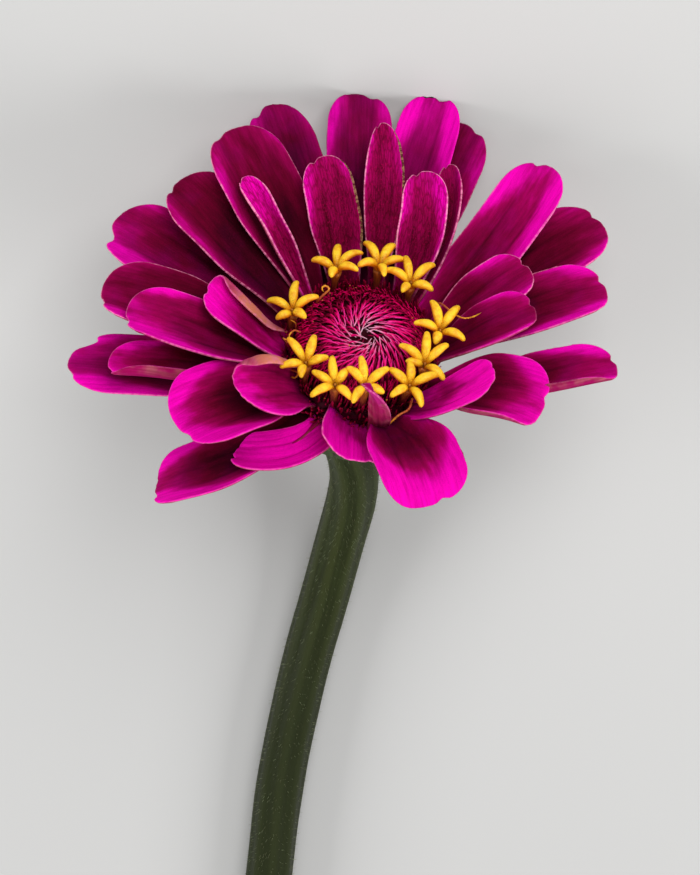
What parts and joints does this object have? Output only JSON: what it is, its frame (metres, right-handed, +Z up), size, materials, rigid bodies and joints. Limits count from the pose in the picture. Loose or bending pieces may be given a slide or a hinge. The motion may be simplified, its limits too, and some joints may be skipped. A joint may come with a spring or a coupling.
{
  "type": "zinnia flower",
  "caption": "Cut zinnia lying on its side, with layered magenta petals, a pink domed disc ringed by yellow star florets, and a curved green stem.",
  "frame": {"origin": "on the resting surface, under the middle of the flower's box", "axes": "+Z up from the surface, +Y along the stem from the head to the cut end, the flower's face looking towards -Y and upwards"},
  "size_m": [0.0748, 0.1476, 0.0527],
  "materials": {
    "petal": "velvety",
    "chaff": "fibrous",
    "floret": "velvety",
    "bract": "satin",
    "stem": "satin"
  },
  "bodies": {
    "root": {"ray_petals": "petal", "chaff_disc": "chaff", "disc_florets": "floret", "involucre": "bract", "stem": "stem"}
  },
  "joints": []
}
